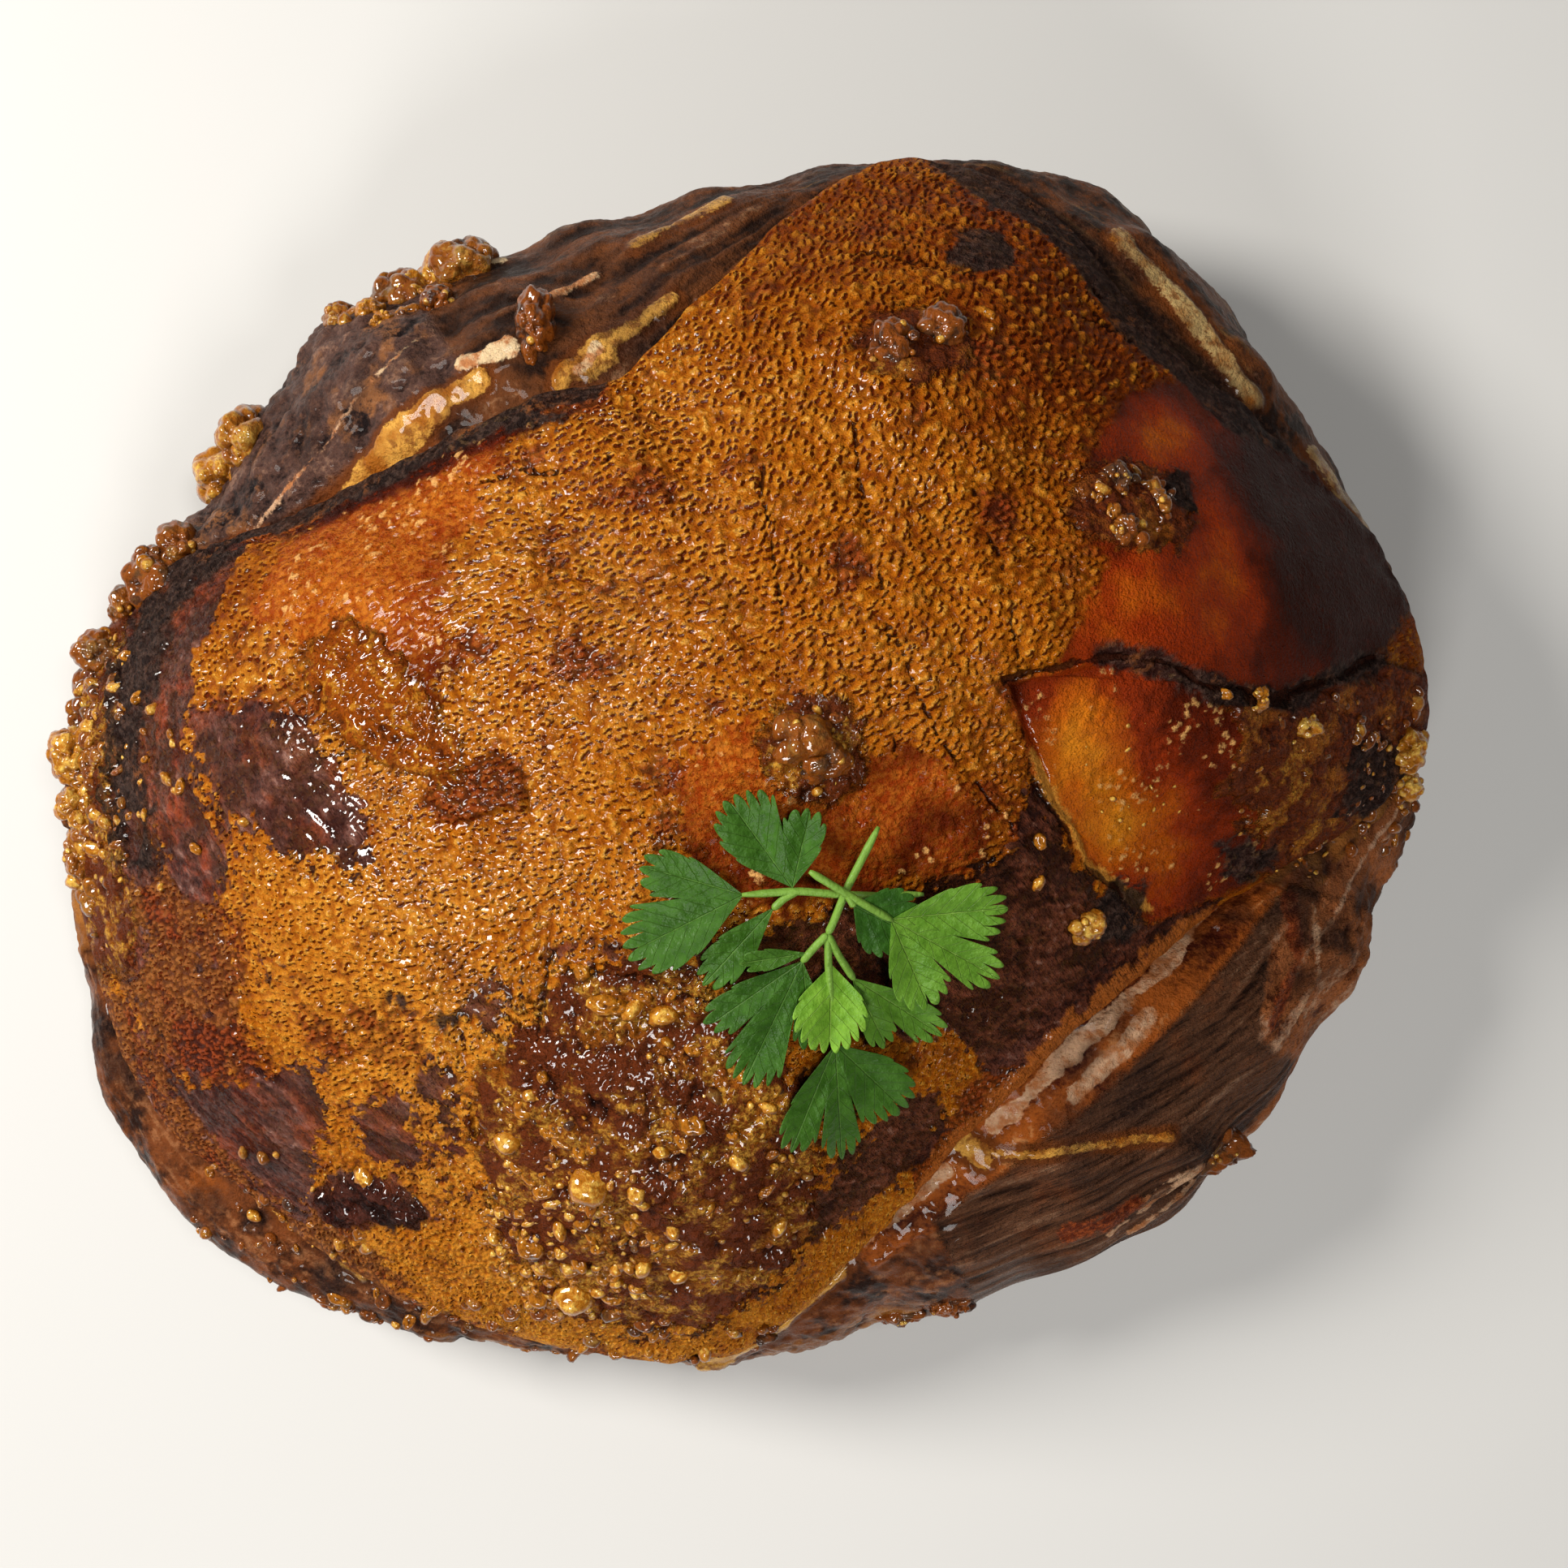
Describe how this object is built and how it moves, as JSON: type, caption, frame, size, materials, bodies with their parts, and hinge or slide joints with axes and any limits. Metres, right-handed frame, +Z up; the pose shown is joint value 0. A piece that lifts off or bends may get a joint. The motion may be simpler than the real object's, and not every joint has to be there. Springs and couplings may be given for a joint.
{
  "type": "bone-in cooked ham",
  "caption": "Whole roast ham lying rind side up, with a pebbled glazed rind, bare fat and lean on its sides, crackling blisters and coriander sprigs on its crown",
  "frame": {"origin": "middle of the object's box, on the flat sole that it rests on", "axes": "+X along the ham towards its shank end, +Y across it towards the side where the rind has drawn back most, +Z up through the rind"},
  "size_m": [0.3648, 0.327, 0.1454],
  "materials": {
    "roast_rind": "roast pork rind, fat and lean, glazed brown",
    "coriander_leaf": "fresh green leaf"
  },
  "bodies": {
    "root": {"ham": "roast_rind", "coriander_sprig_1": "coriander_leaf", "coriander_sprig_2": "coriander_leaf", "coriander_sprig_3": "coriander_leaf"}
  },
  "joints": []
}
